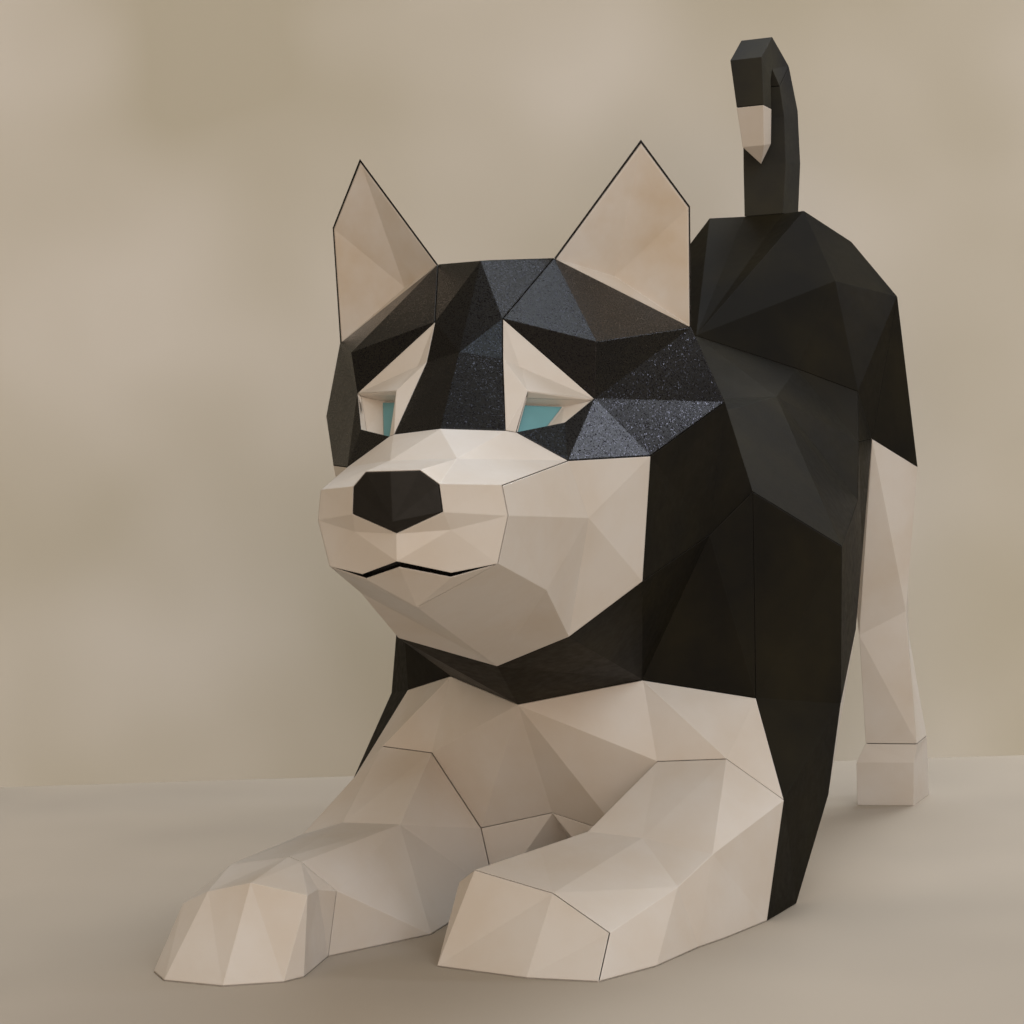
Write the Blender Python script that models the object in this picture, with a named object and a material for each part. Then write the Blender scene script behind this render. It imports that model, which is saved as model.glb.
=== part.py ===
"""A young husky in a play bow, folded and glued from card.

The dog faces -Y, its left side is +X and it rests on Z = 0. Every sheet of card is an open folded surface
over named corners, extruded inwards by the card's thickness and mitred along its seams. Corners are in
millimetres, in the dog's own frame. The head has a frame of its own, which is turned about the neck.
"""

import bmesh
import bpy
import numpy as np
from mathutils import Matrix, Vector

MM = 0.001

# Driving sizes, in millimetres and degrees, and shares
CARD = 0.35
SEAM = 0.3
HEAD_TURN = 11.4
NECK_PIVOT = (0, 72, 150)
BOX_MIDDLE = 126.7
LIP_GAP = 0.5
EAR_RIM = 0.05
CUT_WEIGHT = 3.0
SOCKET_DEPTH = 5.5
SOCKET_SET_BACK = 1.6
SOCKET_TAPER = 0.94
SOCKET_SLANT = 0.36
IRIS_LIFT = 0.75
IRIS_TAPER = 0.9

WHITE = ("white card", (0.62, 0.57, 0.52), 0.45, 0.0)
BLACK = ("black card", (0.012, 0.012, 0.011), 0.5, 0.0)
TEAL = ("teal card", (0.16, 0.40, 0.42), 0.45, 0.0)

# Corners on the head's middle plane, from the back of the skull over the nose to the jaw
HEAD_MIDDLE = {
    "occiput": (0, 75, 208),
    "crown_mid": (0, 9, 224),
    "crease_top": (0, -2, 223),
    "crease_brow": (0, -17.5, 205.5),
    "crease_stop": (0, -29, 192.5),
    "crease_bridge": (0, -51, 168.5),
    "nose_ridge_top": (0, -99, 156.5),
    "nose_ridge_low": (0, -98.5, 142),
    "nose_bottom": (0, -95.5, 138.5),
    "lip_mid": (0, -96, 130.5),
    "low_lip_mid": (0, -94.5, 129),
    "chin": (0, -79, 116),
    "lining_top_mid": (0, -94.3, 133),
    "lining_low_mid": (0, -91.3, 127.6),
    "jaw_mid": (0, 2, 90.5),
}

# Corners of the head's left half, mirrored for the right one
HEAD_HALF = {
    "ear_in": (20, 15, 224),
    "ear_tip": (49, 22, 262),
    "ear_notch": (63, 31, 240),
    "ear_out": (62, 32, 200),
    "ear_floor": (37, 30, 218),
    "ear_rear": (40, 64, 212),
    "brow_top": (11.3, -17.5, 203),
    "brow_kink": (12.6, -23.5, 190),
    "brow_out": (41, -15, 194.5),
    "eye_in": (18, -42, 167.3),
    "eye_out": (39.5, -14, 176.7),
    "socket_in": (22.2, -29.5, 179.3),
    "lid_peak": (17.1, -20, 187.4),
    "lid_in": (20.6, -39, 166.7),
    "lid_low": (33.5, -29, 169.3),
    "temple": (71, 40, 175),
    "cheek_back": (54, 0, 158),
    "mask_low": (36, -36, 157.5),
    "bridge_low": (10.5, -68.5, 159.3),
    "nose_top": (8.2, -97, 156.5),
    "nose_up": (13, -94.5, 152.3),
    "nose_low": (13.7, -94, 144.3),
    "muzzle_top": (28, -81.5, 151.3),
    "muzzle_mid": (29.4, -81, 142.4),
    "lip_fold": (14.6, -90, 139),
    "lip_dip": (13.6, -87.5, 126.5),
    "low_lip_dip": (13.4, -86.5, 125.3),
    "mouth_end": (26, -81.5, 128.6),
    "lining_top_side": (13.2, -85.8, 129.5),
    "lining_top_end": (22.5, -80.2, 130.6),
    "lining_low_side": (13, -83.4, 124.8),
    "lining_low_end": (22.5, -80.3, 127.4),
    "cheek_top": (40, -28, 139.5),
    "cheek_low": (30, -44, 118.3),
    "jaw_back": (49, 5, 117.5),
    "jaw_side": (28.6, -13, 101.3),
}

# The right eye sits a little higher than the left one
RIGHT_EYE = {
    "eye_out": (-39.7, -14, 181.3),
    "socket_in": (-21.2, -29.5, 181.1),
    "lid_peak": (-16.8, -20, 189),
}

# Corners on the body's middle plane
BODY_MIDDLE = {
    "bib": (0, 44, 73),
    "chest_low": (0, 68, 31.5),
    "keel": (0, 98, 3),
    "nape": (0, 125, 178),
    "spine": (0, 213, 205.5),
    "seat_top": (0, 337, 232),
    "seat_mid": (0, 349, 180),
    "crotch": (0, 318, 142),
    "belly_mid": (0, 225, 92),
}

# Corners of the body's left half
BODY_HALF = {
    "bib_peak": (38, 65, 80),
    "patch_out": (70.3, 89.6, 71.7),
    "leg_in": (44.6, 61, 52.4),
    "leg_mid": (68.2, 66, 53.4),
    "leg_out": (86, 73, 39),
    "chest_side": (28, 66, 25),
    "throat_side": (62, 72, 130),
    "nape_side": (45, 112, 171),
    "shoulder_front": (70, 93, 144),
    "shoulder_top": (91, 125, 123),
    "shoulder_low": (92.5, 115, 67.4),
    "shoulder_rear": (88, 112, 35),
    "elbow_front": (84, 59, 0),
    "elbow_back": (83, 90, 0),
    "loin_valley": (40, 198, 179),
    "loin_low": (64, 223, 136.6),
    "loin_side": (58, 244, 160),
    "hip_fold": (52, 262, 181),
    "back_fold": (34, 238, 191),
    "hip_top": (42, 266, 228),
    "rump_ridge": (22, 285, 260.5),
    "rump_top": (38, 300, 247),
    "rump_side": (58, 300, 222),
    "tail_front": (9, 294, 261),
    "tail_back": (9, 313, 261),
    "seat_side": (36, 335, 215),
    "flank_front": (72, 193, 87),
    "flank_rear": (60, 238, 112),
    "thigh_front": (52, 279, 161),
    "thigh_out": (61, 313, 148),
    "thigh_rear": (46, 345, 152),
    "thigh_in": (26, 312, 146),
    "hock_front": (36, 302, 75),
    "hock_out": (55, 310, 85),
    "hock_rear": (47, 338, 72),
    "hock_in": (31, 328, 72),
    "ankle_front": (37, 304, 27),
    "ankle_out": (59, 308, 27),
    "ankle_rear": (55, 335, 27),
    "ankle_in": (36, 333, 27),
    "hind_knuckle_in": (33.5, 301, 19),
    "hind_knuckle_out": (58, 306, 19),
    "hind_toe_in": (33, 302, 0),
    "hind_toe_out": (57, 307, 0),
    "hind_heel_out": (54, 340, 0),
    "hind_heel_in": (33, 338, 0),
    "belly_side": (44, 112, 4),
}

# The left forearm and paw lie flat; the right one reaches further forward
LEFT_ARM = {
    "toe_in": (11, -38, 0),
    "toe_mid": (45, -43, 0),
    "toe_out": (68, -40, 0),
    "side_1": (76, -15, 0),
    "side_2": (78, 14, 0),
    "side_3": (81, 31, 0),
    "inner_toe": (7, -27, 0),
    "inner_heel": (14, 22, 0),
    "inner_elbow": (26, 72, 0),
    "knuckle_in": (18, -24, 28.5),
    "knuckle_mid": (46, -25, 23),
    "knuckle_out": (66.5, -28, 12.6),
    "inner_knuckle": (9.5, -19, 23.3),
    "wrist_in": (26, 6, 30.8),
    "fore_in": (34.5, 25, 33.5),
    "fore_mid": (53, 28, 31.8),
    "fore_out": (78, 28, 27.8),
    "wrist_out": (74, 8, 20.5),
}

RIGHT_ARM = {
    "toe_in": (-23.5, -73, 0),
    "toe_mid": (-38.5, -84, 0),
    "toe_out": (-60.5, -84, 0),
    "toe_far": (-71, -75, 0),
    "toe_heel": (-21.3, -64.7, 0),
    "knuckle_in": (-22, -60, 24.7),
    "knuckle_mid": (-39, -66, 28.7),
    "knuckle_out": (-55.3, -66, 25),
    "knuckle_far": (-68, -62, 19.5),
    "knuckle_heel": (-27, -46, 23.6),
    "paw_top_in": (-35.5, -42, 31.2),
    "paw_top_mid": (-41.5, -40, 32.3),
    "paw_top_out": (-62.7, -42, 29),
    "paw_far": (-76, -42, 18),
    "heel_top": (-26.3, -36, 21.3),
    "heel_low": (-29.4, -37.5, 0),
    "heel_far": (-78, -40, 0),
    "inner_low": (-14, 3, 0),
    "inner_elbow": (-26, 72, 0),
    "fore_in": (-36, 22, 33),
    "fore_mid": (-58, 20, 33),
    "fore_out": (-78, 25, 27),
    "side_low": (-80, 25, 0),
}

# The tail's square sections from its root to the white tip: y, z, half width, half depth, lean in degrees
TAIL_RINGS = (
    (306, 284, 9.9, 9.3, 4),
    (306, 306, 9.6, 9.0, 14),
    (301, 322, 8.8, 8.0, 40),
)
TAIL_TOP_RINGS = (
    (291, 331, 7.2, 7.0, 85),
    (283, 323, 7.2, 6.8, 140),
    (286, 307, 6.2, 4.8, 176),
    (288, 291, 5.0, 4.2, 190),
)
TAIL_TIP = (1, 290, 283)

# Points inside the dog, which its sheets face away from
SKULL = (5, 20, 160)
SNOUT = (15, -30, 145)
JAW = (10, 10, 145)
THROAT = (0, 90, 140)
TRUNK = (0, 170, 120)
HIPS = (0, 300, 190)


def clear_scene():
    for item in list(bpy.data.objects):
        bpy.data.objects.remove(item, do_unlink=True)


def card_material(kind):
    name, colour, roughness, metallic = kind
    material = bpy.data.materials.get(name)
    if material:
        return material
    material = bpy.data.materials.new(name)
    material.use_nodes = True
    shader = material.node_tree.nodes["Principled BSDF"]
    shader.inputs["Base Color"].default_value = (*colour, 1)
    shader.inputs["Roughness"].default_value = roughness
    shader.inputs["Metallic"].default_value = metallic
    return material


def head_frame():
    """The matrix that takes the head's own frame to the dog's: a turn about the neck."""
    pivot = Matrix.Translation(NECK_PIVOT)
    return pivot @ Matrix.Rotation(np.radians(HEAD_TURN), 4, "Z") @ pivot.inverted()


def all_corners():
    """Every corner by name; a half corner is named with .L or .R."""
    corners = {}
    turn = head_frame()
    for name, place in HEAD_MIDDLE.items():
        corners[name] = turn @ Vector(place)
    for name, place in BODY_MIDDLE.items():
        corners[name] = Vector(place)
    for name, (x, y, z) in HEAD_HALF.items():
        corners[name + ".L"] = turn @ Vector((x, y, z))
        corners[name + ".R"] = turn @ Vector((-x, y, z))
    for name, place in RIGHT_EYE.items():
        corners[name + ".R"] = turn @ Vector(place)
    for name, (x, y, z) in BODY_HALF.items():
        corners[name + ".L"] = Vector((x, y, z))
        corners[name + ".R"] = Vector((-x, y, z))
    for name, place in LEFT_ARM.items():
        corners["arm_" + name + ".L"] = Vector(place)
    for name, place in RIGHT_ARM.items():
        corners["arm_" + name + ".R"] = Vector(place)
    return corners


CORNERS = all_corners()


def named(facets, side=None):
    """Facets written as words, one facet a line, with the side's letter added to half corners."""
    out = []
    for line in facets.strip().splitlines():
        words = []
        for word in line.split():
            words.append(word if word in CORNERS else f"{word}.{side}")
        out.append(words)
    return out


def both(facets):
    return named(facets, "L") + named(facets, "R")


# Facets of each sheet, one a line, by the names of their corners
CROWN = """
crease_top ear_in brow_top crease_brow
crease_brow brow_top brow_kink crease_stop
crease_stop brow_kink eye_in crease_bridge
crown_mid ear_in crease_top
occiput ear_rear ear_in crown_mid
"""
MASK = """
ear_in brow_out brow_top
ear_in ear_out brow_out
brow_top brow_out eye_out
brow_out ear_out eye_out
ear_out temple eye_out
eye_out temple cheek_back mask_low
lid_low eye_out mask_low
lid_in lid_low mask_low
"""
EYE_PATCH = """
brow_top brow_kink lid_peak
brow_top lid_peak eye_out
lid_peak socket_in eye_out
brow_kink eye_in socket_in lid_peak
eye_in lid_in socket_in
"""
EAR_FRONT = """
ear_in ear_floor ear_tip
ear_floor ear_out ear_notch ear_tip
ear_in ear_out ear_floor
"""
EAR_BACK = """
ear_in ear_tip ear_rear
ear_tip ear_notch ear_rear
ear_notch ear_out ear_rear
"""
NECK_SIDE = """
cheek_back temple throat_side jaw_back
temple shoulder_front throat_side
ear_out ear_rear temple
ear_rear nape_side temple
nape_side shoulder_front temple
"""
NECK_TOP = """
occiput nape nape_side ear_rear
"""
MUZZLE_MIDDLE = """
eye_in.L crease_bridge bridge_low.L
crease_bridge eye_in.R bridge_low.R
bridge_low.L crease_bridge bridge_low.R
bridge_low.L bridge_low.R nose_top.R nose_ridge_top nose_top.L
"""
MUZZLE = """
eye_in lid_in mask_low
eye_in mask_low bridge_low
bridge_low mask_low muzzle_top
bridge_low muzzle_top nose_up nose_top
nose_up muzzle_top muzzle_mid nose_low
nose_low muzzle_mid mouth_end lip_dip lip_fold
nose_low lip_fold nose_bottom
nose_bottom lip_fold lip_dip lip_mid
"""
NOSE = """
nose_ridge_top nose_top nose_up nose_low nose_ridge_low
nose_ridge_low nose_low nose_bottom
"""
CHIN = """
low_lip_mid low_lip_dip mouth_end chin
"""
CHEEKS = """
mask_low cheek_back cheek_top
cheek_back jaw_back cheek_top
mask_low cheek_top muzzle_mid muzzle_top
muzzle_mid cheek_top cheek_low mouth_end
cheek_top jaw_back jaw_side cheek_low
mouth_end cheek_low chin
cheek_low jaw_side jaw_mid chin
"""
BIB = """
jaw_mid jaw_side bib_peak bib
jaw_side jaw_back throat_side bib_peak
bib_peak throat_side shoulder_front patch_out
"""
CHEST = """
bib bib_peak leg_in
bib leg_in chest_side
bib chest_side chest_low
bib_peak leg_mid leg_in
bib_peak patch_out leg_out leg_mid
"""
SHOULDER = """
patch_out shoulder_low shoulder_top shoulder_front
patch_out leg_out shoulder_low
leg_out elbow_front elbow_back shoulder_rear shoulder_low
"""
BACK = """
nape_side shoulder_front shoulder_top loin_low loin_valley
loin_valley loin_low loin_side
loin_valley loin_side hip_fold back_fold
nape nape_side loin_valley spine
spine loin_valley back_fold
"""
RUMP_MIDDLE = """
spine tail_front.L tail_front.R
tail_back.L seat_top tail_back.R
"""
RUMP = """
spine back_fold hip_top
spine hip_top rump_ridge
spine rump_ridge tail_front
back_fold hip_fold hip_top
rump_ridge hip_top rump_top
tail_front rump_ridge rump_top
hip_top rump_side rump_top
hip_top hip_fold rump_side
hip_fold loin_side thigh_front rump_side
tail_front rump_top tail_back
tail_back rump_top seat_side seat_top
rump_top rump_side seat_side
seat_top seat_side seat_mid
"""
THIGH = """
rump_side thigh_front thigh_out
rump_side thigh_out thigh_rear seat_side
seat_side thigh_rear crotch seat_mid
"""
FLANK = """
shoulder_top shoulder_low flank_front
shoulder_top flank_front flank_rear loin_low
loin_low flank_rear thigh_front loin_side
"""
BELLY = """
chest_low chest_side arm_inner_elbow
chest_low arm_inner_elbow keel
keel arm_inner_elbow belly_side
arm_inner_elbow elbow_back belly_side
belly_side elbow_back shoulder_rear
belly_side shoulder_rear flank_front
shoulder_rear shoulder_low flank_front
keel belly_side belly_mid
belly_side flank_front belly_mid
belly_mid flank_front flank_rear
belly_mid flank_rear thigh_front
belly_mid thigh_front thigh_in
belly_mid thigh_in crotch
crotch thigh_in thigh_rear
"""
EYE_OPENING = ("socket_in", "eye_out", "lid_low", "lid_in")
EYE_TRAY = """
tray_socket_in tray_eye_out back_eye_out back_socket_in
tray_eye_out tray_lid_low back_lid_low back_eye_out
tray_lid_low tray_lid_in back_lid_in back_lid_low
tray_lid_in tray_socket_in back_socket_in back_lid_in
back_socket_in back_eye_out back_lid_low back_lid_in
"""
IRIS = """
iris_socket_in iris_eye_out iris_lid_low iris_lid_in
"""
MOUTH_LINING = """
lining_top_mid lining_top_side lining_low_side lining_low_mid
lining_top_side lining_top_end lining_low_end lining_low_side
"""
HIND_LEG = """
thigh_front thigh_out hock_out hock_front
thigh_out thigh_rear hock_rear hock_out
thigh_rear thigh_in hock_in hock_rear
thigh_in thigh_front hock_front hock_in
hock_front hock_out ankle_out ankle_front
hock_out hock_rear ankle_rear ankle_out
hock_rear hock_in ankle_in ankle_rear
hock_in hock_front ankle_front ankle_in
"""
HIND_PAW = """
ankle_front ankle_out hind_knuckle_out hind_knuckle_in
hind_knuckle_in hind_knuckle_out hind_toe_out hind_toe_in
ankle_out ankle_rear hind_heel_out hind_toe_out hind_knuckle_out
ankle_rear ankle_in hind_heel_in hind_heel_out
ankle_in ankle_front hind_knuckle_in hind_toe_in hind_heel_in
hind_toe_in hind_toe_out hind_heel_out hind_heel_in
"""
LEFT_FORELEG = """
arm_knuckle_in arm_knuckle_mid arm_fore_mid arm_fore_in arm_wrist_in
arm_fore_in arm_fore_mid leg_mid leg_in
arm_knuckle_mid arm_knuckle_out arm_wrist_out arm_fore_out arm_fore_mid
arm_fore_mid arm_fore_out leg_out leg_mid
arm_knuckle_out arm_toe_out arm_side_1 arm_side_2 arm_side_3 elbow_front leg_out arm_fore_out arm_wrist_out
arm_inner_knuckle arm_knuckle_in arm_wrist_in arm_fore_in leg_in chest_side arm_inner_elbow arm_inner_heel arm_inner_toe
"""
LEFT_PAW = """
arm_knuckle_in arm_knuckle_mid arm_toe_mid arm_toe_in
arm_knuckle_mid arm_knuckle_out arm_toe_out arm_toe_mid
arm_inner_knuckle arm_knuckle_in arm_toe_in arm_inner_toe
"""
LEFT_SOLE = """
arm_toe_in arm_toe_mid arm_toe_out arm_side_1 arm_side_2 arm_side_3 elbow_front elbow_back arm_inner_elbow arm_inner_heel arm_inner_toe
"""
RIGHT_FORELEG = """
arm_heel_low arm_heel_top arm_fore_in leg_in chest_side arm_inner_elbow arm_inner_low
arm_heel_top arm_paw_top_in arm_fore_in
arm_paw_top_in arm_paw_top_mid arm_fore_mid arm_fore_in
arm_paw_top_mid arm_paw_top_out arm_fore_out arm_fore_mid
arm_paw_top_out arm_paw_far arm_fore_out
arm_paw_far arm_heel_far arm_side_low elbow_front leg_out arm_fore_out
arm_fore_in arm_fore_mid leg_mid leg_in
arm_fore_mid arm_fore_out leg_out leg_mid
"""
RIGHT_PAW = """
arm_knuckle_far arm_knuckle_out arm_paw_top_out arm_paw_far
arm_knuckle_out arm_knuckle_mid arm_paw_top_mid arm_paw_top_out
arm_knuckle_mid arm_knuckle_in arm_paw_top_in arm_paw_top_mid
arm_knuckle_in arm_knuckle_heel arm_paw_top_in
arm_knuckle_heel arm_heel_top arm_paw_top_in
arm_knuckle_out arm_knuckle_mid arm_toe_mid arm_toe_out
arm_knuckle_mid arm_knuckle_in arm_toe_in arm_toe_mid
arm_knuckle_in arm_knuckle_heel arm_toe_heel arm_toe_in
arm_knuckle_heel arm_heel_top arm_heel_low arm_toe_heel
arm_knuckle_far arm_knuckle_out arm_toe_out arm_toe_far
arm_paw_far arm_knuckle_far arm_toe_far arm_heel_far
"""
RIGHT_PAW_SOLE = """
arm_toe_heel arm_toe_in arm_toe_mid arm_toe_out arm_toe_far arm_heel_far arm_heel_low
"""
RIGHT_SOLE = """
arm_heel_low arm_heel_far arm_side_low elbow_front elbow_back arm_inner_elbow arm_inner_low
"""


def ring_names(label):
    return [f"{label}_front.L", f"{label}_back.L", f"{label}_back.R", f"{label}_front.R"]


def add_tail_corners():
    """Square sections along the curl of the tail, named from its root up and over to the tip."""
    labels = []
    for step, (y, z, half_width, half_depth, lean) in enumerate(TAIL_RINGS + TAIL_TOP_RINGS):
        label = f"curl_{step}"
        back = Vector((0, np.cos(np.radians(lean)), np.sin(np.radians(lean)))) * half_depth
        centre = Vector((0, y, z))
        for side, sign in (("L", 1), ("R", -1)):
            across = Vector((sign * half_width, 0, 0))
            CORNERS[f"{label}_front.{side}"] = centre + across - back
            CORNERS[f"{label}_back.{side}"] = centre + across + back
        labels.append(label)
    CORNERS["tail_point"] = Vector(TAIL_TIP)
    return labels


def tube_facets(labels):
    """The quads between each square section and the next."""
    facets = []
    for near, far in zip(labels, labels[1:]):
        below = ring_names(near)
        above = ring_names(far)
        for index in range(4):
            after = (index + 1) % 4
            facets.append([below[index], below[after], above[after], above[index]])
    return facets


def tip_facets(labels):
    ring = ring_names(labels[-1])
    point = [[ring[index], ring[(index + 1) % 4], "tail_point"] for index in range(4)]
    return tube_facets(labels) + point


def add_eye_corners(side):
    """A tray set back from the eye's opening, with a slanted outer wall, and the iris that lies on its back."""
    rim = [CORNERS[f"{name}.{side}"] for name in EYE_OPENING]
    centre = sum(rim, Vector()) / len(rim)
    across = rim[1] - rim[3]
    normal = across.cross(rim[0] - rim[2]).normalized()
    if normal.y > 0:
        normal.negate()
    flat = [corner - normal * (corner - centre).dot(normal) for corner in rim]
    front = [centre.lerp(corner, SOCKET_TAPER) for corner in flat]
    inner_top, outer_top, outer_low, inner_low = front
    back = [inner_top, outer_top.lerp(inner_top, SOCKET_SLANT), outer_low.lerp(inner_low, SOCKET_SLANT), inner_low]
    back = [corner - normal * SOCKET_DEPTH for corner in back]
    middle = sum(back, Vector()) / len(back)
    for name, near, far in zip(EYE_OPENING, front, back):
        CORNERS[f"tray_{name}.{side}"] = near - normal * SOCKET_SET_BACK
        CORNERS[f"back_{name}.{side}"] = far
        CORNERS[f"iris_{name}.{side}"] = middle.lerp(far, IRIS_TAPER) + normal * IRIS_LIFT
    return centre - normal * SOCKET_DEPTH / 2, centre - normal * 2 * SOCKET_DEPTH


SHEETS = {}


def middle_of(facets):
    """The mean of a sheet's corners, which is inside a sheet that wraps round a limb."""
    names = sorted({name for facet in facets for name in facet})
    return sum((CORNERS[name] for name in names), Vector()) / len(names)


def sheet(name, facets, kind, inside=None, trim=0.0, gap=SEAM / 2, hollow=False):
    """Notes one folded sheet: its facets, its card, a point behind it, the trim of its free edges, how far its
    glued edges keep from the middle of their seams, and whether it is a tray that is seen from inside."""
    SHEETS[name] = {
        "facets": facets,
        "kind": kind,
        "inside": Vector(inside) if inside else middle_of(facets),
        "trim": trim,
        "gap": gap,
        "side": -1 if hollow else 1,
    }


def list_sheets():
    sheet("crown", both(CROWN), BLACK, SKULL)
    sheet("neck_top", both(NECK_TOP), BLACK, THROAT)
    sheet("muzzle", named(MUZZLE_MIDDLE) + both(MUZZLE), WHITE, SNOUT)
    sheet("nose", both(NOSE), BLACK, SNOUT)
    sheet("chin", both(CHIN), WHITE, SNOUT, trim=LIP_GAP)
    sheet("mouth_lining", both(MOUTH_LINING), BLACK, SNOUT)
    sheet("cheeks", both(CHEEKS), WHITE, JAW)
    sheet("bib", both(BIB), BLACK, TRUNK)
    sheet("chest", both(CHEST), WHITE, TRUNK)
    sheet("back", both(BACK), BLACK, TRUNK)
    sheet("rump", named(RUMP_MIDDLE) + both(RUMP), BLACK, HIPS)
    sheet("belly", both(BELLY), WHITE, TRUNK)
    for side, word in (("L", "left"), ("R", "right")):
        sheet(f"{word}_mask", named(MASK, side), BLACK, SKULL)
        sheet(f"{word}_eye_patch", named(EYE_PATCH, side), WHITE, SKULL, trim=SEAM / 2)
        ear = CORNERS[f"ear_rear.{side}"].lerp(CORNERS[f"ear_floor.{side}"], 0.5)
        sheet(f"{word}_ear_front", named(EAR_FRONT, side), WHITE, ear, gap=SEAM - EAR_RIM)
        sheet(f"{word}_ear_back", named(EAR_BACK, side), BLACK, ear, gap=EAR_RIM)
        tray, behind = add_eye_corners(side)
        sheet(f"{word}_eye_tray", named(EYE_TRAY, side), WHITE, tray, hollow=True)
        sheet(f"{word}_iris", named(IRIS, side), TEAL, behind)
        sheet(f"{word}_neck_side", named(NECK_SIDE, side), BLACK, THROAT)
        sheet(f"{word}_shoulder", named(SHOULDER, side), BLACK, TRUNK)
        sheet(f"{word}_flank", named(FLANK, side), BLACK, TRUNK)
        sheet(f"{word}_thigh", named(THIGH, side), BLACK, HIPS)
        sheet(f"{word}_hind_leg", named(HIND_LEG, side), WHITE)
        sheet(f"{word}_hind_paw", named(HIND_PAW, side), WHITE)
    sheet("left_foreleg", named(LEFT_FORELEG, "L"), WHITE)
    sheet("left_forepaw", named(LEFT_PAW, "L"), WHITE, middle_of(named(LEFT_SOLE, "L")))
    sheet("left_foreleg_sole", named(LEFT_SOLE, "L"), WHITE, TRUNK)
    sheet("right_foreleg", named(RIGHT_FORELEG, "R"), WHITE)
    sheet("right_forepaw", named(RIGHT_PAW, "R"), WHITE)
    sheet("right_forepaw_sole", named(RIGHT_PAW_SOLE, "R"), WHITE, TRUNK)
    sheet("right_foreleg_sole", named(RIGHT_SOLE, "R"), WHITE, TRUNK)
    labels = add_tail_corners()
    sheet("tail_stem", tube_facets(["tail"] + labels[:3]), BLACK)
    sheet("tail_curl", tube_facets(labels[2:6]), BLACK)
    sheet("tail_tip", tip_facets(labels[5:]), WHITE)


def placed(corner):
    """The corner in metres, with the middle of the dog's length at the origin."""
    return (corner - Vector((0, BOX_MIDDLE, 0))) * MM


def open_surface(note):
    """The sheet's facets over its corners as one open surface that faces out."""
    mesh = bmesh.new()
    marks = {}
    for facet in note["facets"]:
        for name in facet:
            if name not in marks:
                marks[name] = mesh.verts.new(placed(CORNERS[name]))
        mesh.faces.new([marks[name] for name in facet])
    bmesh.ops.recalc_face_normals(mesh, faces=mesh.faces)
    bmesh.ops.triangulate(mesh, faces=mesh.faces)
    mesh.normal_update()
    inside = placed(note["inside"])
    facing = sum(face.calc_area() * face.normal.dot(face.calc_center_median() - inside) for face in mesh.faces)
    if facing * note["side"] < 0:
        bmesh.ops.reverse_faces(mesh, faces=mesh.faces)
        mesh.normal_update()
    return mesh, marks


def free_edges(mesh, marks):
    """(pair of names, edge, direction into the facet) of each edge on the sheet's outline."""
    names = {vertex: name for name, vertex in marks.items()}
    found = []
    for edge in mesh.edges:
        if len(edge.link_faces) != 1:
            continue
        face = edge.link_faces[0]
        along = (edge.verts[1].co - edge.verts[0].co).normalized()
        into = face.normal.cross(along)
        if into.dot(face.calc_center_median() - edge.verts[0].co) < 0:
            into.negate()
        pair = frozenset(names[vertex] for vertex in edge.verts)
        found.append((pair, edge, into))
    return found


def mitre(into, others):
    """The normal, towards this sheet, of the plane halfway between it and the nearest sheet on the seam."""
    if not others:
        return into
    nearest = max(others, key=into.dot)
    return (into - nearest).normalized()


def step_to(planes):
    """The shortest step that best meets planes given as (normal, distance, weight)."""
    rows = [weight * np.array(normal) for normal, distance, weight in planes]
    aims = [weight * distance * MM for normal, distance, weight in planes]
    return Vector(np.linalg.lstsq(np.array(rows), np.array(aims), rcond=1e-4)[0])


def thicken(mesh, cuts):
    """Extrudes the open surface inwards by the card's thickness; its edges follow the planes of the cuts."""
    outer = []
    inner = []
    for vertex in mesh.verts:
        rims = [(normal, distance, CUT_WEIGHT) for normal, distance in cuts.get(vertex, [])]
        outer.append(step_to([(face.normal, 0.0, 1.0) for face in vertex.link_faces] + rims))
        inner.append(step_to([(face.normal, -CARD, 1.0) for face in vertex.link_faces] + rims))
    corner = mesh.verts.layers.int.new("corner")
    front = list(mesh.verts)
    for index, vertex in enumerate(front):
        vertex[corner] = index
    made = bmesh.ops.extrude_face_region(mesh, geom=mesh.faces[:], use_keep_orig=True)
    for item in made["geom"]:
        if isinstance(item, bmesh.types.BMVert):
            item.co += inner[item[corner]]
    for vertex in front:
        vertex.co += outer[vertex[corner]]
    bmesh.ops.recalc_face_normals(mesh, faces=mesh.faces)


def card_object(name, mesh, kind, collection):
    data = bpy.data.meshes.new(name)
    mesh.to_mesh(data)
    mesh.free()
    item = bpy.data.objects.new(name, data)
    item.data.materials.append(card_material(kind))
    collection.objects.link(item)


def make_sheets(collection):
    surfaces = {name: open_surface(note) for name, note in SHEETS.items()}
    outlines = {name: free_edges(mesh, marks) for name, (mesh, marks) in surfaces.items()}
    seams = {}
    for name, edges in outlines.items():
        for pair, edge, into in edges:
            seams.setdefault(pair, []).append((name, into.copy()))
    for name, (mesh, marks) in surfaces.items():
        cuts = {}
        for pair, edge, into in outlines[name]:
            others = [way for owner, way in seams[pair] if owner != name]
            distance = SHEETS[name]["gap"] if others else SHEETS[name]["trim"]
            for vertex in edge.verts:
                cuts.setdefault(vertex, []).append((mitre(into, others), distance))
        thicken(mesh, cuts)
        card_object(name, mesh, SHEETS[name]["kind"], collection)


def main():
    clear_scene()
    collection = bpy.data.collections.new("play_bow_dog")
    bpy.context.scene.collection.children.link(collection)
    list_sheets()
    make_sheets(collection)


main()
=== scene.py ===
"""Dresses the play bow dog in card: black with a fine sparkle, pearly white and teal, in a small studio."""

import math

import bmesh
import bpy
from mathutils import Matrix, Vector


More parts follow.
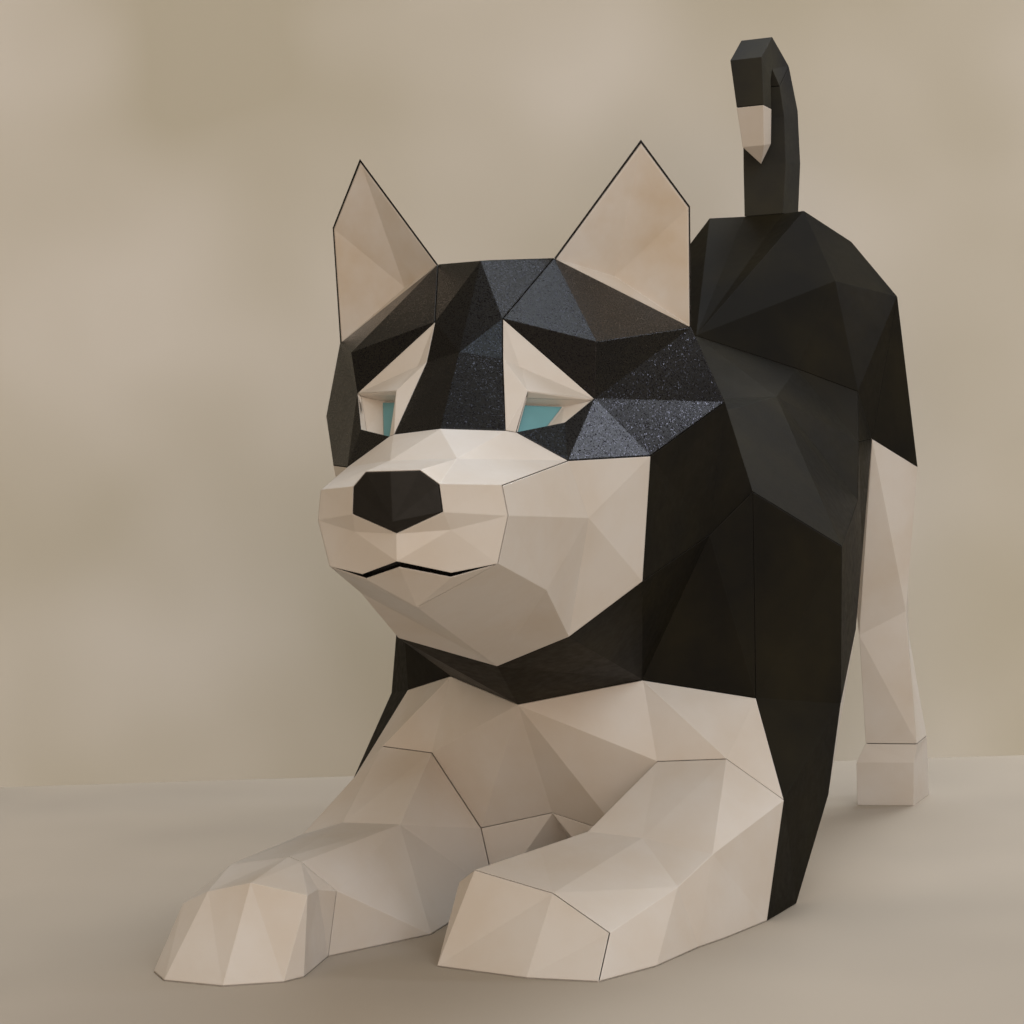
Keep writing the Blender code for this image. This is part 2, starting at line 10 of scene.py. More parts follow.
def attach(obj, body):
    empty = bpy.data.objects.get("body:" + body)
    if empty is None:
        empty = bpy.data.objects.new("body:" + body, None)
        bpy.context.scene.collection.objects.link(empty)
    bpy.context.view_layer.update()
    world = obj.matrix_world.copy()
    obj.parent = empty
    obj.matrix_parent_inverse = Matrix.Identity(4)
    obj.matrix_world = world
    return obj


bl_info = {
    "name": "Card husky",
    "version": (1, 0, 0),
    "blender": (4, 5, 0),
    "location": "View3D > Sidebar > Card husky",
    "description": "Finishes the folded sheets of a card husky and sets up its studio",
    "category": "Object",
}

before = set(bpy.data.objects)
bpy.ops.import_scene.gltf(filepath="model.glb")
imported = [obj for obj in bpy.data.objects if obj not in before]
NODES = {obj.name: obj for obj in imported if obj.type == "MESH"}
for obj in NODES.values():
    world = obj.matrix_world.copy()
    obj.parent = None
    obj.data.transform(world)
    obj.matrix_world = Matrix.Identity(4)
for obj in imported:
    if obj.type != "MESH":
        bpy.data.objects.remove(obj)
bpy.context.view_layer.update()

# The head is turned to the dog's left about an upright line through the neck, in metres
HEAD_TURN = math.radians(11.4)
NECK_PIVOT = Vector((0, -0.0547, 0))

# Each eye's opening before the head turns, in metres: its inner, outer, low outer and low inner corners
EYE_OPENINGS = {
    "left": ((0.0222, -0.1562, 0.1793), (0.0395, -0.1407, 0.1767),
             (0.0335, -0.1557, 0.1693), (0.0206, -0.1657, 0.1667)),
    "right": ((-0.0212, -0.1562, 0.1811), (-0.0397, -0.1407, 0.1813),
              (-0.0335, -0.1557, 0.1693), (-0.0206, -0.1657, 0.1667)),
}

# The tray behind an opening: its size as a share of the opening, and how far it is set back
TRAY_SHARE = 0.94
TRAY_SET_BACK = 0.0016

# The strip round an eye: where it starts and ends, as shares of the way from the opening to its tray, its
# thickness in metres and the corners of its section
RIM_START = 0.04
RIM_END = 1.1
RIM_THICKNESS = 0.0002
RIM_CORNERS = 4

# Noises of the card and the cloths: features a metre, detail and roughness
SLOW_WAVES = (14, 1.0, 0.4)
FIBRES = (1400, 3.0, 0.6)
CLOUDS = (22, 5.0, 0.55)
SPECKS = (320, 3.0, 0.6)
CLOTH_PATCHES = (5.5, 2.0, 0.45)

# The part of each noise that is eased from none to all
CLOUD_RANGE = (0.38, 0.68)
SPECK_RANGE = (0.3, 0.7)
CLOTH_RANGE = (0.38, 0.66)

# Heights of the grain and the waves, and how far the rounding of a fold reaches, in metres
CARD_GRAIN = 0.000015
FINE_GRAIN = 0.000006
CARD_WAVE = 0.0006
FOLD_RADIUS = 0.0005
FOLD_SAMPLES = 6

# Cosine of the turn near a fold, from a flat facet to a full fold
FOLD_RANGE = (0.995, 0.93)

# Flakes of the sparkling card: size in metres, tilt, the share of cells that hold one, and the colour of a
# cell whose flake would lie flat
FLAKE_SIZE = 0.00032
FLAKE_TILT = 0.24
FLAKE_SHARE = 0.3
FLAT_CELL = (0.5, 0.5, 0.5)

# Roughness of each card between its specks and on them, or between its flakes and on them
WHITE_ROUGHNESS = (0.40, 0.52)
SPARKLE_ROUGHNESS = (0.33, 0.25)
DULL_ROUGHNESS = (0.38, 0.5)
NOSE_ROUGHNESS = (0.55, 0.68)
IRIS_ROUGHNESS = (0.35, 0.5)
CLOTH_ROUGHNESS = 0.85

# Pearly coat of the white card, and how strongly the black cards mirror
PEARL_WEIGHT = 0.12
PEARL_ROUGHNESS = 0.3
SPARKLE_GLOSS = 0.36
COAT_GLOSS = 0.04
TAIL_GLOSS = 0.06

# How far the handling marks cover white card
FAINT_SMUDGE = 0.35
HANDLED_SMUDGE = 0.85

# What a colour is multiplied by, for all its parts or for each
# The next sets how much paler the white card is along its folds: part cracked coating, part painted highlight
PALE_FOLD_WEAR_AND_HIGHLIGHT = 1.22
BROWN_CLOUD = (1.7, 1.6, 1.2)
COAT_TINT = (1.6, 1.55, 1.4)
TAIL_TINT = (3.6, 3.9, 4.5)
IRIS_CLOUD = 0.72
TABLE_PATCH = 0.86
BACKDROP_PATCH = (1.3, 1.33, 1.5)

# Colour along the folds, part cracked coating and part painted highlight, and how far it covers the card
BLACK_FOLD_WEAR_AND_HIGHLIGHT = (0.05, 0.047, 0.042)
NOSE_FOLD_WEAR_AND_HIGHLIGHT = (0.05, 0.045, 0.04)
WHITE_WEAR_AND_HIGHLIGHT = 0.4
BLACK_WEAR_AND_HIGHLIGHT = 0.2
NOSE_WEAR_AND_HIGHLIGHT = 0.25

NOSE_COLOUR = (0.010, 0.008, 0.005)
NOSE_CLOUD = (0.016, 0.013, 0.009)

# The studio, in metres
CLOTH_REACH = 3.0
BACKDROP_DISTANCE = 0.28
LAMP_AIM = Vector((0, 0, 0.13))

SENSOR_MM = 36.0

# Light from all round, and how much of it and of the cloths the gloss shows
AMBIENT_COLOUR = (1.0, 0.80, 0.58, 1)
GLOSSY_AMBIENT = 0.25
GLOSSY_CLOTH = 0.4

# Each lamp: the two ways from the dog that it spans, right, up and away from the camera, its distance and
# width in metres, and its colour
LAMPS = {
    "key": (((0.20, 0.78, 0.58), (0.52, 0.62, 0.55)), 1.6, 0.6, (1.0, 1.0, 0.97)),
    "top": (((-0.10, 0.94, 0.30), (0.30, 0.90, 0.28)), 1.6, 0.8, (0.78, 0.88, 1.0)),
    "side": (((0.84, 0.50, 0.20), (0.86, 0.46, 0.22)), 1.6, 0.25, (0.8, 0.86, 1.0)),
    "fill": (((-0.05, 0.55, -0.83), (0.62, 0.60, -0.50)), 2.2, 1.2, (0.72, 0.88, 1.0)),
    "low": (((-0.40, 0.18, -0.90), (0.55, 0.15, -0.82)), 2.2, 0.6, (1.0, 0.80, 0.66)),
}

# A Mix node has sockets of the same name for each kind of value, so those for colours are picked by place
MIX_FIRST = 6
MIX_SECOND = 7
MIX_RESULT = 2


class CardSettings(bpy.types.PropertyGroup):
    """Colours and folds of the card"""

    white: bpy.props.FloatVectorProperty(
        name="White card", description="Colour of the white card", subtype="COLOR", size=3,
        min=0, max=1, default=(0.66, 0.63, 0.60))
    white_shade: bpy.props.FloatVectorProperty(
        name="Handling marks", description="Colour of the faint smudges on the white card", subtype="COLOR",
        size=3, min=0, max=1, default=(0.52, 0.405, 0.275))
    black: bpy.props.FloatVectorProperty(
        name="Black card", description="Colour of the black card", subtype="COLOR", size=3,
        min=0, max=1, default=(0.0080, 0.0076, 0.0070))
    flake: bpy.props.FloatVectorProperty(
        name="Sparkle", description="Colour of the fine flakes in the black card", subtype="COLOR", size=3,
        min=0, max=1, default=(0.056, 0.054, 0.062))
    teal: bpy.props.FloatVectorProperty(
        name="Teal card", description="Colour of the card of the irises", subtype="COLOR", size=3,
        min=0, max=1, default=(0.16, 0.40, 0.46))
    fold_radius: bpy.props.FloatProperty(
        name="Fold radius", description="How far the rounding of a fold reaches", subtype="DISTANCE",
        unit="LENGTH", min=0, default=FOLD_RADIUS)


class StudioSettings(bpy.types.PropertyGroup):
    """Camera, cloths and lamps"""

    lens: bpy.props.FloatProperty(
        name="Lens", description="Focal length of the camera in millimetres", min=1, default=80.86)
    camera_place: bpy.props.FloatVectorProperty(
        name="Camera", description="Where the camera stands", subtype="TRANSLATION", unit="LENGTH", size=3,
        default=(0.366, -0.7887, 0.162))
    azimuth: bpy.props.FloatProperty(
        name="Azimuth", description="How far the camera stands round to the dog's left", subtype="ANGLE",
        unit="ROTATION", default=math.radians(27.4))
    pitch: bpy.props.FloatProperty(
        name="Pitch", description="How far the camera looks down", subtype="ANGLE", unit="ROTATION",
        default=math.radians(1.6))
    roll: bpy.props.FloatProperty(
        name="Roll", description="How far the camera leans to its left", subtype="ANGLE", unit="ROTATION",
        default=math.radians(1.8))
    backdrop: bpy.props.FloatVectorProperty(
        name="Backdrop", description="Colour of the cloth behind the dog", subtype="COLOR", size=3,
        min=0, max=1, default=(0.57, 0.545, 0.46))
    table: bpy.props.FloatVectorProperty(
        name="Table", description="Colour of the table under the dog", subtype="COLOR", size=3,
        min=0, max=1, default=(0.42, 0.37, 0.31))
    key_power: bpy.props.FloatProperty(
        name="Key light", description="Power of the large lamp behind and to the right", unit="POWER",
        min=0, default=10)
    top_power: bpy.props.FloatProperty(
        name="Top light", description="Power of the cool lamp overhead", unit="POWER", min=0, default=8)
    side_power: bpy.props.FloatProperty(
        name="Side light", description="Power of the small lamp that the cheek mirrors", unit="POWER",
        min=0, default=2.9)
    fill_power: bpy.props.FloatProperty(
        name="Fill light", description="Power of the soft lamp above the camera", unit="POWER",
        min=0, default=11)
    low_power: bpy.props.FloatProperty(
        name="Low light", description="Power of the warm lamp low in front", unit="POWER", min=0, default=11)
    ambient: bpy.props.FloatProperty(
        name="Ambient", description="Strength of the light from all round", min=0, default=0.53)


def card_settings():
    return bpy.context.scene.card_husky


def studio_settings():
    return bpy.context.scene.card_husky_studio


def shifted(colour, shift):
    """The colour multiplied by one number, or by a number for each part."""
    shifts = shift if isinstance(shift, tuple) else (shift,) * len(colour)
    return tuple(min(1.0, part * factor) for part, factor in zip(colour, shifts))


def noise(tree, place, scale, detail, roughness):
    """The value of a noise texture of that many features a metre."""
    texture = tree.nodes.new("ShaderNodeTexNoise")
    texture.inputs["Scale"].default_value = scale
    texture.inputs["Detail"].default_value = detail
    texture.inputs["Roughness"].default_value = roughness
    tree.links.new(place, texture.inputs["Vector"])
    return texture.outputs["Fac"]


def band(tree, value, start=(0.0, 1.0), end=(0.0, 1.0)):
    """The value eased from the first range to the second, clamped."""
    ease = tree.nodes.new("ShaderNodeMapRange")
    ease.inputs["From Min"].default_value, ease.inputs["From Max"].default_value = start
    ease.inputs["To Min"].default_value, ease.inputs["To Max"].default_value = end
    tree.links.new(value, ease.inputs["Value"])
    return ease.outputs["Result"]


def maths(tree, operation, first, second):
    """The result of maths on two values, each a socket or a plain number."""
    node = tree.nodes.new("ShaderNodeMath")
    node.operation = operation
    for socket, value in zip(node.inputs, (first, second)):
        if isinstance(value, (int, float)):
            socket.default_value = value
        else:
            tree.links.new(value, socket)
    return node.outputs[0]


def vector_maths(tree, operation, first, second=None):
    """The result of maths on one vector, or on a vector and a second socket or plain vector."""
    node = tree.nodes.new("ShaderNodeVectorMath")
    node.operation = operation
    tree.links.new(first, node.inputs[0])
    other = node.inputs["Scale" if operation == "SCALE" else 1]
    if isinstance(second, tuple):
        other.default_value = second
    elif second is not None:
        tree.links.new(second, other)
    return node.outputs["Value" if operation == "DOT_PRODUCT" else "Vector"]


def bump(tree, distance, height, normal):
    """The normal bent by a height, which counts for that distance."""
    node = tree.nodes.new("ShaderNodeBump")
    tree.links.new(distance, node.inputs["Distance"])
    tree.links.new(height, node.inputs["Height"])
    tree.links.new(normal, node.inputs["Normal"])
    return node.outputs["Normal"]


def new_group(name, inputs, outputs):
    """An empty shader node group with those sockets: (name, kind, default) in, (name, kind) out."""
    tree = bpy.data.node_groups.new(name, "ShaderNodeTree")
    for label, kind, default in inputs:
        socket = tree.interface.new_socket(name=label, in_out="INPUT", socket_type=kind)
        socket.default_value = default
    for label, kind in outputs:
        tree.interface.new_socket(name=label, in_out="OUTPUT", socket_type=kind)
    return tree, tree.nodes.new("NodeGroupInput").outputs, tree.nodes.new("NodeGroupOutput").inputs


def card_grain_group():
    """Fibre grain, slow waves, cloudy tone, specks and rounded folds of a sheet of card."""
    tree = bpy.data.node_groups.get("card_grain")
    if tree:
        return tree
    tree, enter, leave = new_group(
        "card_grain",
        [("Grain", "NodeSocketFloat", CARD_GRAIN), ("Wave", "NodeSocketFloat", CARD_WAVE),
         ("Fold Radius", "NodeSocketFloat", FOLD_RADIUS)],
        [("Normal", "NodeSocketVector"), ("Cloud", "NodeSocketFloat"), ("Speck", "NodeSocketFloat"),
         ("Fold", "NodeSocketFloat")])
    place = tree.nodes.new("ShaderNodeTexCoord").outputs["Object"]
    rounded = tree.nodes.new("ShaderNodeBevel")
    rounded.samples = FOLD_SAMPLES
    tree.links.new(enter["Fold Radius"], rounded.inputs["Radius"])
    flat = tree.nodes.new("ShaderNodeNewGeometry").outputs["Normal"]
    match = vector_maths(tree, "DOT_PRODUCT", rounded.outputs["Normal"], flat)
    waves = bump(tree, enter["Wave"], noise(tree, place, *SLOW_WAVES), rounded.outputs["Normal"])
    grain = bump(tree, enter["Grain"], noise(tree, place, *FIBRES), waves)
    tree.links.new(grain, leave["Normal"])
    # The fold mask makes folds paler on white card and greyer on black: part cracked coating, part painted
    # highlight
    tree.links.new(band(tree, match, FOLD_RANGE), leave["Fold"])
    tree.links.new(band(tree, noise(tree, place, *CLOUDS), CLOUD_RANGE), leave["Cloud"])
    tree.links.new(band(tree, noise(tree, place, *SPECKS), SPECK_RANGE), leave["Speck"])
    return tree


def flake_group():
    """Tiny flakes under the surface, each tilted its own way."""
    tree = bpy.data.node_groups.get("card_flakes")
    if tree:
        return tree
    tree, enter, leave = new_group(
        "card_flakes",
        [("Size", "NodeSocketFloat", FLAKE_SIZE), ("Tilt", "NodeSocketFloat", FLAKE_TILT),
         ("Share", "NodeSocketFloat", FLAKE_SHARE), ("Normal", "NodeSocketVector", (0, 0, 0))],
        [("Flake", "NodeSocketFloat"), ("Normal", "NodeSocketVector")])
    place = tree.nodes.new("ShaderNodeTexCoord").outputs["Object"]
    cells = tree.nodes.new("ShaderNodeTexVoronoi")
    tree.links.new(place, cells.inputs["Vector"])
    tree.links.new(maths(tree, "DIVIDE", 1.0, enter["Size"]), cells.inputs["Scale"])
    split = tree.nodes.new("ShaderNodeSeparateColor")
    tree.links.new(cells.outputs["Color"], split.inputs["Color"])
    shown = maths(tree, "LESS_THAN", split.outputs["Red"], enter["Share"])
    centred = vector_maths(tree, "SUBTRACT", cells.outputs["Color"], FLAT_CELL)
    tilt = vector_maths(tree, "SCALE", centred, maths(tree, "MULTIPLY", shown, enter["Tilt"]))
    tilted = vector_maths(tree, "NORMALIZE", vector_maths(tree, "ADD", enter["Normal"], tilt))
    tree.links.new(tilted, leave["Normal"])
    tree.links.new(shown, leave["Flake"])
    return tree


def new_material(name):
    """A new material, its tree and its shader."""
    material = bpy.data.materials.new(name)
    material.use_nodes = True
    return material, material.node_tree, material.node_tree.nodes["Principled BSDF"]


def place_group(tree, group, **values):
    """The group as a node, with those values in its inputs."""
    node = tree.nodes.new("ShaderNodeGroup")
    node.node_tree = group
    for label, value in values.items():
        node.inputs[label.replace("_", " ")].default_value = value
    return node


def blend_colours(tree, share, first, second):
    """The first colour turned to the second by a share; each colour is a socket or plain."""
    node = tree.nodes.new("ShaderNodeMix")
    node.data_type = "RGBA"
    for place, value in (("Factor", share), (MIX_FIRST, first), (MIX_SECOND, second)):
        socket = node.inputs[place]
        if isinstance(value, bpy.types.NodeSocket):
            tree.links.new(value, socket)
        else:
            socket.default_value = (*value, 1)
    return node.outputs[MIX_RESULT]


def new_card(name, **heights):
    """A new material, its tree and shader, and the grain that every card has."""
    material, tree, shader = new_material(name)
    grain = place_group(tree, card_grain_group(), Fold_Radius=card_settings().fold_radius, **heights)
    return material, tree, shader, grain.outputs


def fold_wear_and_highlight(tree, grain, share, base, wear_and_highlight_colour):
    """The base colour, turned along the folds to a colour that is part cracked coating and part painted
    highlight.
    """
    return blend_colours(tree, maths(tree, "MULTIPLY", grain["Fold"], share), base, wear_and_highlight_colour)


def finish_card(tree, shader, grain, colour, roughness):
    """Gives the shader the card's colour, its speckled roughness and its grain."""
    tree.links.new(colour, shader.inputs["Base Color"])
    tree.links.new(band(tree, grain["Speck"], end=roughness), shader.inputs["Roughness"])
    tree.links.new(grain["Normal"], shader.inputs["Normal"])


def white_card(name="pearly white card", smudge=FAINT_SMUDGE):
    """Smooth off-white card with a pearly coat, handling marks, and folds made paler by cracked coating and a
    painted highlight.
    """
    material = bpy.data.materials.get(name)
    if material:
        return material
    look = card_settings()
    material, tree, shader, grain = new_card(name)
    marks = maths(tree, "MULTIPLY", grain["Cloud"], smudge)
    base = blend_colours(tree, marks, look.white, look.white_shade)
    # Paler folds: part cracked coating, part painted highlight
    folded = fold_wear_and_highlight(tree, grain, WHITE_WEAR_AND_HIGHLIGHT, base, shifted(look.white, PALE_FOLD_WEAR_AND_HIGHLIGHT))
    finish_card(tree, shader, grain, folded, WHITE_ROUGHNESS)
    shader.inputs["Coat Weight"].default_value = PEARL_WEIGHT
    shader.inputs["Coat Roughness"].default_value = PEARL_ROUGHNESS
    return material


def black_with_fold_wear_and_highlight(tree, grain, tint=1.0):
    """The black card's colour, browner in clouds and greyer along folds, part cracked coating and part
    painted highlight.
    """
    dark = shifted(card_settings().black, tint)
    base = blend_colours(tree, grain["Cloud"], dark, shifted(dark, BROWN_CLOUD))
    return fold_wear_and_highlight(tree, grain, BLACK_WEAR_AND_HIGHLIGHT, base, BLACK_FOLD_WEAR_AND_HIGHLIGHT)


def black_card():
    """Black card of the head, full of fine flakes."""
    name = "sparkling black card"
    material = bpy.data.materials.get(name)
    if material:
        return material
    material, tree, shader, grain = new_card(name, Grain=FINE_GRAIN)
    flakes = place_group(tree, flake_group())
    tree.links.new(grain["Normal"], flakes.inputs["Normal"])
    flake = flakes.outputs["Flake"]
    colour = blend_colours(tree, flake, black_with_fold_wear_and_highlight(tree, grain), card_settings().flake)
    tree.links.new(colour, shader.inputs["Base Color"])
    tree.links.new(flake, shader.inputs["Metallic"])
    tree.links.new(band(tree, flake, end=SPARKLE_ROUGHNESS), shader.inputs["Roughness"])
    tree.links.new(flakes.outputs["Normal"], shader.inputs["Normal"])
    shader.inputs["Specular IOR Level"].default_value = SPARKLE_GLOSS
    return material


def dull_black_card(name, tint, gloss):
    """Plain black card of the body, with little shine."""
    material, tree, shader, grain = new_card(name)
    finish_card(tree, shader, grain, black_with_fold_wear_and_highlight(tree, grain, tint), DULL_ROUGHNESS)
    shader.inputs["Specular IOR Level"].default_value = gloss
    return material


def nose_card():
    """Plain matt black card of the nose."""
    material, tree, shader, grain = new_card("matt black nose card")
    base = blend_colours(tree, grain["Cloud"], NOSE_COLOUR, NOSE_CLOUD)
    # Greyer folds on the nose: part cracked coating, part painted highlight
    finish_card(tree, shader, grain, fold_wear_and_highlight(tree, grain, NOSE_WEAR_AND_HIGHLIGHT, base, NOSE_FOLD_WEAR_AND_HIGHLIGHT), NOSE_ROUGHNESS)
    return material


def teal_card():
    """Teal card of the irises, deeper in clouds."""
    material, tree, shader, grain = new_card("teal iris card")
    teal = card_settings().teal
    colour = blend_colours(tree, grain["Cloud"], teal, shifted(teal, IRIS_CLOUD))
    finish_card(tree, shader, grain, colour, IRIS_ROUGHNESS)
    return material


def dress(names, material):
    """Gives the nodes their card."""
    for name in names:
        materials = NODES[name].data.materials
        materials.clear()
        materials.append(material)


def both_sides(*names):
    return [f"{side}_{name}" for side in ("left", "right") for name in names]


def eye_corners(opening):
    """The corners of the opening once the head has turned, and those of the tray behind them."""
    turn = Matrix.Rotation(HEAD_TURN, 3, "Z")
    lids = [NECK_PIVOT + turn @ (Vector(corner) - NECK_PIVOT) for corner in opening]
    centre = sum(lids, Vector()) / len(lids)
    inner, outer, low_outer, low_inner = lids
    outward = (outer - low_inner).cross(inner - low_outer).normalized()
    if outward.y > 0:
        outward.negate()
    flat = [corner - outward * (corner - centre).dot(outward) for corner in lids]
    trays = [centre.lerp(corner, TRAY_SHARE) - outward * TRAY_SET_BACK for corner in flat]
    return lids, trays


def eye_rim(side, opening):
    """A strip of card under the lid that closes the slit between the eye's opening and its tray."""
    lids, trays = (row[:3] for row in eye_corners(opening))
    middle = (lids[0] + lids[-1]) / 2
    points, faces = [], []
    for lid, tray in zip(lids, trays):
        out = (lid - middle).normalized() * RIM_THICKNESS
        near, far = lid.lerp(tray, RIM_START), lid.lerp(tray, RIM_END)
        points += [near, far, far + out, near + out]
    last = len(points) - RIM_CORNERS
    for first in range(0, last, RIM_CORNERS):
        for step in range(RIM_CORNERS):
            this, after = first + step, first + (step + 1) % RIM_CORNERS
            faces.append((this, after, after + RIM_CORNERS, this + RIM_CORNERS))
    faces += [tuple(reversed(range(RIM_CORNERS))), tuple(range(last, last + RIM_CORNERS))]
    data = bpy.data.meshes.new(f"{side}_eye_rim")
    data.from_pydata(points, [], faces)
    shape = bmesh.new()
    shape.from_mesh(data)
    bmesh.ops.recalc_face_normals(shape, faces=shape.faces)
    shape.to_mesh(data)
    shape.free()
    data.materials.append(white_card())
    rim = bpy.data.objects.new(data.name, data)
    bpy.context.scene.collection.objects.link(rim)
    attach(rim, "root")


class HUSKY_OT_head(bpy.types.Operator):
    """Finishes the black sheets of the head"""

    bl_idname = "card_husky.head"
    bl_label = "Crown and masks"

    def execute(self, context):
        dress(["crown", "mouth_lining", *both_sides("mask")], black_card())
        return {"FINISHED"}


class HUSKY_OT_ears(bpy.types.Operator):
    """Finishes the white fronts and black backs of the ears"""

    bl_idname = "card_husky.ears"
    bl_label = "Ears"

    def execute(self, context):
        dress(both_sides("ear_front"), white_card("handled white card", HANDLED_SMUDGE))
        dress(both_sides("ear_back"), black_card())
        return {"FINISHED"}


class HUSKY_OT_eyes(bpy.types.Operator):
    """Finishes the eye patches, trays and irises, and adds the strips round the eyes"""

    bl_idname = "card_husky.eyes"
    bl_label = "Eyes"

    def execute(self, context):
        dress(both_sides("eye_patch", "eye_tray"), white_card())
        dress(both_sides("iris"), teal_card())
        for side, opening in EYE_OPENINGS.items():
            eye_rim(side, opening)
        return {"FINISHED"}


class HUSKY_OT_muzzle(bpy.types.Operator):
    """Finishes the muzzle, cheeks, chin and nose"""

    bl_idname = "card_husky.muzzle"
    bl_label = "Muzzle and nose"

    def execute(self, context):
        dress(["muzzle", "cheeks", "chin"], white_card())
        dress(["nose"], nose_card())
        return {"FINISHED"}


class HUSKY_OT_coat(bpy.types.Operator):
    """Finishes the black sheets of the neck, trunk and rump"""

    bl_idname = "card_husky.coat"
    bl_label = "Black coat"

    def execute(self, context):
        sides = both_sides("neck_side", "shoulder", "flank", "thigh")
        coat = dull_black_card("dull black card", COAT_TINT, COAT_GLOSS)
        dress(["neck_top", "bib", "back", "rump", *sides], coat)
        return {"FINISHED"}


class HUSKY_OT_underside(bpy.types.Operator):
    """Finishes the white chest and belly"""

    bl_idname = "card_husky.underside"
    bl_label = "Chest and belly"

    def execute(self, context):
        dress(["chest", "belly"], white_card())
        return {"FINISHED"}


class HUSKY_OT_legs(bpy.types.Operator):
    """Finishes the four white legs, their paws and soles"""

    bl_idname = "card_husky.legs"
    bl_label = "Legs and paws"

    def execute(self, context):
        limbs = both_sides("foreleg", "forepaw", "foreleg_sole", "hind_leg", "hind_paw")
        dress([*limbs, "right_forepaw_sole"], white_card())
        return {"FINISHED"}


class HUSKY_OT_tail(bpy.types.Operator):
    """Finishes the black tail and its white tip"""

    bl_idname = "card_husky.tail"
    bl_label = "Tail"

    def execute(self, context):
        dress(["tail_stem", "tail_curl"], dull_black_card("black tail card", TAIL_TINT, TAIL_GLOSS))
        dress(["tail_tip"], white_card())
        return {"FINISHED"}


def camera_axes(studio):
    """The camera's right, up and forward directions."""
    turn, dip, lean = studio.azimuth, studio.pitch, -studio.roll
    forward = Vector((-math.sin(turn) * math.cos(dip), math.cos(turn) * math.cos(dip), -math.sin(dip)))
    level = forward.cross(Vector((0, 0, 1))).normalized()
    upright = level.cross(forward)
    right = level * math.cos(lean) + upright * math.sin(lean)
    up = upright * math.cos(lean) - level * math.sin(lean)
    return right, up, forward


def turned_to(x_axis, y_axis, z_axis, place):
    """The matrix of an object that stands there with its axes along those directions."""
    return Matrix.Translation(place) @ Matrix((x_axis, y_axis, z_axis)).transposed().to_4x4()


def add_lamp(name, studio, ends, distance, width, colour):
    """A long soft lamp that spans two ways from the dog, each right, up and away seen from the camera."""
    axes = camera_axes(studio)
    first, last = (sum((axis * part for axis, part in zip(axes, end)), Vector()).normalized() for end in ends)
    toward = (first + last).normalized()
    across = (last - first).normalized()
    data = bpy.data.lights.new(f"{name}_lamp", "AREA")
    data.shape = "RECTANGLE"
    data.size = (last - first).length * distance
    data.size_y = width
    data.energy = getattr(studio, f"{name}_power")
    data.color = colour
    lamp = bpy.data.objects.new(data.name, data)
    lamp.matrix_world = turned_to(across, toward.cross(across), toward, LAMP_AIM + toward * distance)
    lamp.visible_camera = False
    bpy.context.scene.collection.objects.link(lamp)


def cloth(name, colour, patches):
    """Matt cloth with soft patches of a second colour, plain and darker where a gloss mirrors it."""
    material, tree, shader = new_material(name)
    place = tree.nodes.new("ShaderNodeTexCoord").outputs["Object"]
    share = band(tree, noise(tree, place, *CLOTH_PATCHES), CLOTH_RANGE)
    seen = blend_colours(tree, share, colour, patches)
    mirrored = tree.nodes.new("ShaderNodeLightPath").outputs["Is Glossy Ray"]
    shown = blend_colours(tree, mirrored, seen, shifted(colour, GLOSSY_CLOTH))
    tree.links.new(shown, shader.inputs["Base Color"])
    shader.inputs["Roughness"].default_value = CLOTH_ROUGHNESS
    return material


def see_through_behind(material):
    """Lets the material be seen from its front only."""
    tree = material.node_tree
    clear = tree.nodes.new("ShaderNodeBsdfTransparent")
    side = tree.nodes.new("ShaderNodeNewGeometry").outputs["Backfacing"]
    pick = tree.nodes.new("ShaderNodeMixShader")
    tree.links.new(side, pick.inputs["Fac"])
    tree.links.new(tree.nodes["Principled BSDF"].outputs["BSDF"], pick.inputs[1])
    tree.links.new(clear.outputs["BSDF"], pick.inputs[2])
    tree.links.new(pick.outputs["Shader"], tree.nodes["Material Output"].inputs["Surface"])
    return material


def stage_sheet(name, corners, material):
    """One flat face that isn't part of the object."""
    data = bpy.data.meshes.new(name)
    data.from_pydata(corners, [], [tuple(range(len(corners)))])
    data.materials.append(material)
    sheet = bpy.data.objects.new(name, data)
    bpy.context.scene.collection.objects.link(sheet)
    return sheet


def lay_table(studio):
    """A flat cloth on which the dog stands."""
    colour = tuple(studio.table)
    corners = [(x * CLOTH_REACH, y * CLOTH_REACH, 0) for x, y in ((-1, -1), (1, -1), (1, 1), (-1, 1))]
    stage_sheet("table", corners, cloth("table cloth", colour, shifted(colour, TABLE_PATCH)))


def hang_backdrop(studio):
    """A cloth behind the dog that faces the camera, hides nothing from behind and casts no shadow."""
    colour = tuple(studio.backdrop)
    away = camera_axes(studio)[2]
    away = Vector((away.x, away.y, 0)).normalized()
    across = Vector((-away.y, away.x, 0)) * CLOTH_REACH
    foot, rise = away * BACKDROP_DISTANCE, Vector((0, 0, CLOTH_REACH))
    corners = [foot + across, foot - across, foot - across + rise, foot + across + rise]
    hanging = see_through_behind(cloth("backdrop cloth", colour, shifted(colour, BACKDROP_PATCH)))
    stage_sheet("backdrop", corners, hanging).visible_shadow = False


def light_room(studio):
    """Light from all round, weaker where a gloss mirrors it."""
    world = bpy.data.worlds.new("studio")
    world.use_nodes = True
    tree = world.node_tree
    around = tree.nodes["Background"]
    around.inputs["Color"].default_value = AMBIENT_COLOUR
    mirrored = tree.nodes.new("ShaderNodeLightPath").outputs["Is Glossy Ray"]
    strength = band(tree, mirrored, end=(studio.ambient, studio.ambient * GLOSSY_AMBIENT))
    tree.links.new(strength, around.inputs["Strength"])
    bpy.context.scene.world = world


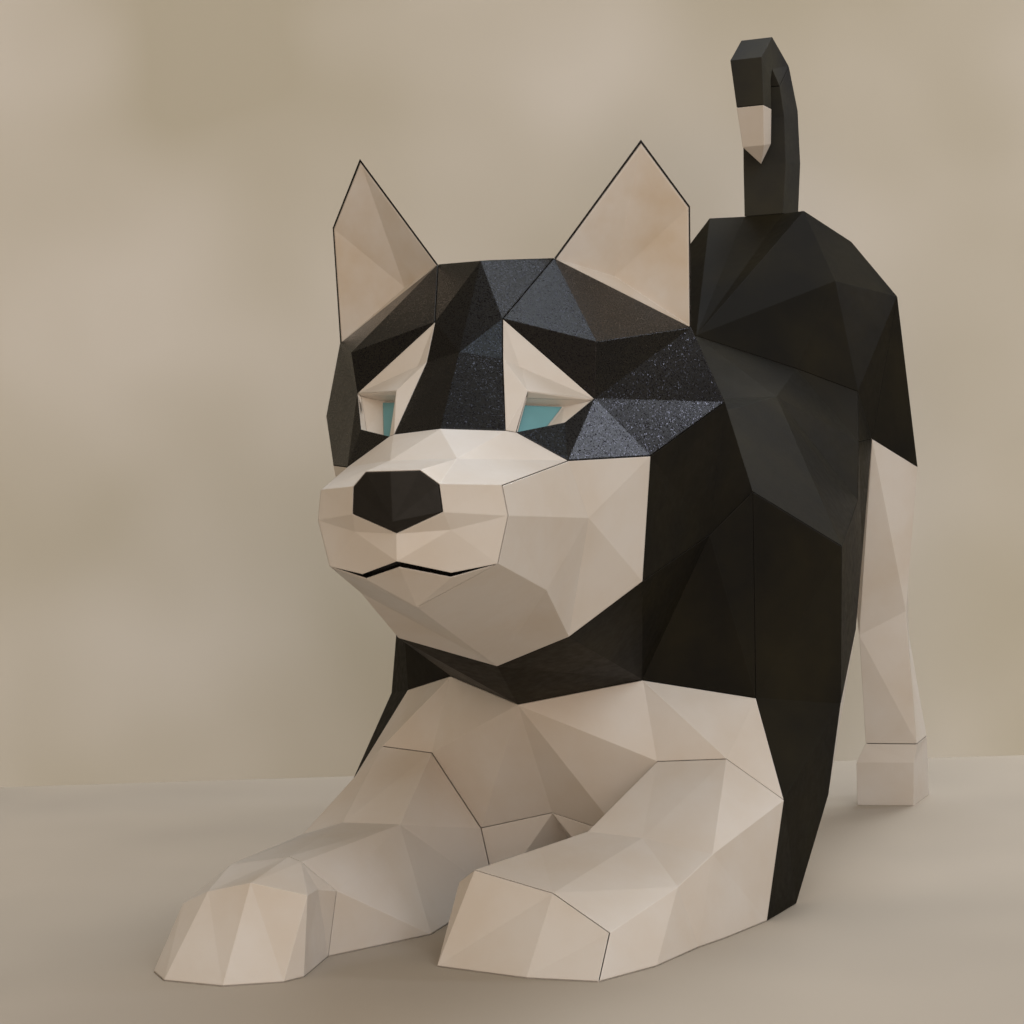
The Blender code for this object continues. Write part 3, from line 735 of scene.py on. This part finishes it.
def set_camera(studio):
    """The camera at the photograph's viewing angle."""
    right, up, forward = camera_axes(studio)
    data = bpy.data.cameras.new("camera")
    data.sensor_width = SENSOR_MM
    data.lens = studio.lens
    camera = bpy.data.objects.new("camera", data)
    camera.matrix_world = turned_to(right, up, -forward, studio.camera_place)
    bpy.context.scene.collection.objects.link(camera)
    bpy.context.scene.camera = camera


class HUSKY_OT_stage(bpy.types.Operator):
    """Sets the table, the backdrop, the lamps and the camera"""

    bl_idname = "card_husky.stage"
    bl_label = "Studio"

    def execute(self, context):
        studio = studio_settings()
        lay_table(studio)
        hang_backdrop(studio)
        for name, (ends, distance, width, colour) in LAMPS.items():
            add_lamp(name, studio, ends, distance, width, colour)
        light_room(studio)
        set_camera(studio)
        context.scene.view_settings.view_transform = "Standard"
        return {"FINISHED"}


class HUSKY_PT_sheets(bpy.types.Panel):
    """Lists what this script finishes"""

    bl_label = "Card husky"
    bl_idname = "HUSKY_PT_sheets"
    bl_space_type = "VIEW_3D"
    bl_region_type = "UI"
    bl_category = "Card husky"

    def draw(self, context):
        for operator in OPERATORS:
            self.layout.operator(operator.bl_idname)
        for settings in (context.scene.card_husky, context.scene.card_husky_studio):
            for name in settings.bl_rna.properties.keys():
                if name not in ("rna_type", "name"):
                    self.layout.prop(settings, name)


OPERATORS = (HUSKY_OT_head, HUSKY_OT_ears, HUSKY_OT_eyes, HUSKY_OT_muzzle, HUSKY_OT_coat, HUSKY_OT_underside,
             HUSKY_OT_legs, HUSKY_OT_tail, HUSKY_OT_stage)
CLASSES = (CardSettings, StudioSettings, *OPERATORS, HUSKY_PT_sheets)


def register():
    for kind in CLASSES:
        bpy.utils.register_class(kind)
    bpy.types.Scene.card_husky = bpy.props.PointerProperty(type=CardSettings)
    bpy.types.Scene.card_husky_studio = bpy.props.PointerProperty(type=StudioSettings)


def unregister():
    del bpy.types.Scene.card_husky_studio
    del bpy.types.Scene.card_husky
    for kind in reversed(CLASSES):
        bpy.utils.unregister_class(kind)


def main():
    register()
    for operator in OPERATORS:
        group, name = operator.bl_idname.split(".")
        getattr(getattr(bpy.ops, group), name)()


if __name__ == "__main__":
    main()
